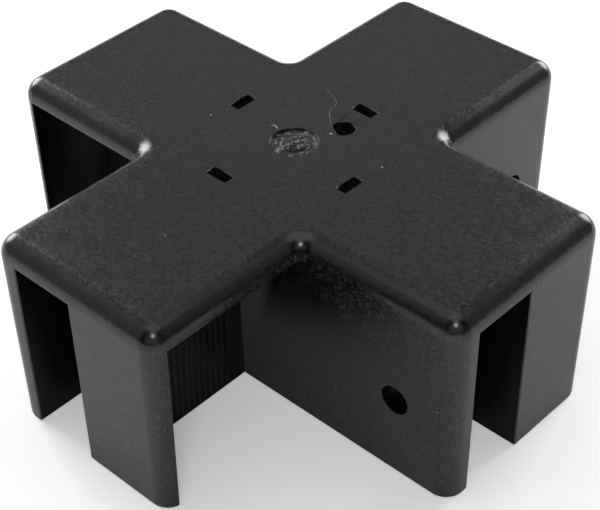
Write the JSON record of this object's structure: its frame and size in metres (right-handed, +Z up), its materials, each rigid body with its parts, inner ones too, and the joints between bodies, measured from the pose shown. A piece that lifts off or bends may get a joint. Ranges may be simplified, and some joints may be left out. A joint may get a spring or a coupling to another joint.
{
  "type": "four way cross connector",
  "caption": "Cross-shaped moulded connector whose arms each hold a board's edge in an open channel, with screw holes in the side walls.",
  "frame": {"origin": "centre of the open rim that the connector stands on, under the middle of the cross", "axes": "+Z up to the closed top plate, +X and +Y along two neighbouring arms"},
  "size_m": [0.1016, 0.1016, 0.0385],
  "materials": {
    "moulded_plastic": "black, fine satin mould texture"
  },
  "bodies": {
    "root": {"connector_body": "moulded_plastic"}
  },
  "joints": []
}
